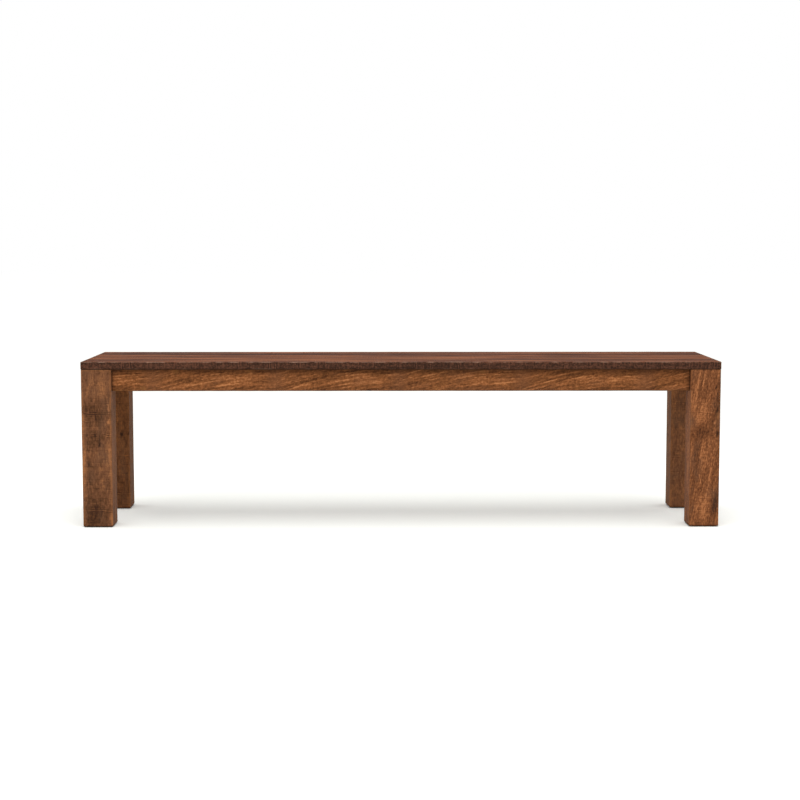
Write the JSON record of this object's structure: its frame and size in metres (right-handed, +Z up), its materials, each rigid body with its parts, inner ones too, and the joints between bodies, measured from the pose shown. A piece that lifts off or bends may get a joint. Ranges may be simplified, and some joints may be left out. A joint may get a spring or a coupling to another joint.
{
  "type": "dining bench",
  "caption": "Long backless dining bench with square block legs flush with the seat edge, a recessed plain apron and an edge-joined board seat.",
  "frame": {"origin": "on the floor, under the middle of the seat", "axes": "+X along the bench to its right end, +Y from its front to its back, +Z up"},
  "size_m": [1.78, 0.41, 0.464],
  "materials": {
    "seat_wood": "stained hardwood, worn satin lacquer",
    "leg_wood": "stained hardwood, worn satin lacquer",
    "apron_wood": "stained hardwood, worn satin lacquer",
    "frame_wood": "sawn hardwood under a thin stain",
    "tongue_wood": "bare planed hardwood",
    "screw_steel": "zinc-plated steel",
    "glide_nylon": "moulded nylon"
  },
  "bodies": {
    "root": {"seat_board_front": "seat_wood", "seat_board_front_inner": "seat_wood", "seat_board_back_inner": "seat_wood", "seat_board_back": "seat_wood", "leg_front_left": "leg_wood", "leg_front_right": "leg_wood", "leg_back_left": "leg_wood", "leg_back_right": "leg_wood", "apron_front": "apron_wood", "apron_back": "apron_wood", "apron_left": "apron_wood", "apron_right": "apron_wood", "cross_rail_left": "frame_wood", "cross_rail_right": "frame_wood", "corner_block_front_left": "frame_wood", "corner_block_front_right": "frame_wood", "corner_block_back_left": "frame_wood", "corner_block_back_right": "frame_wood", "seat_buttons_front": "frame_wood", "seat_buttons_back": "frame_wood", "seat_tongue_front": "tongue_wood", "seat_tongue_middle": "tongue_wood", "seat_tongue_back": "tongue_wood", "seat_screws": "screw_steel", "corner_block_coach_screws": "screw_steel", "foot_glide_front_left": "glide_nylon", "foot_glide_front_right": "glide_nylon", "foot_glide_back_left": "glide_nylon", "foot_glide_back_right": "glide_nylon"}
  },
  "joints": []
}
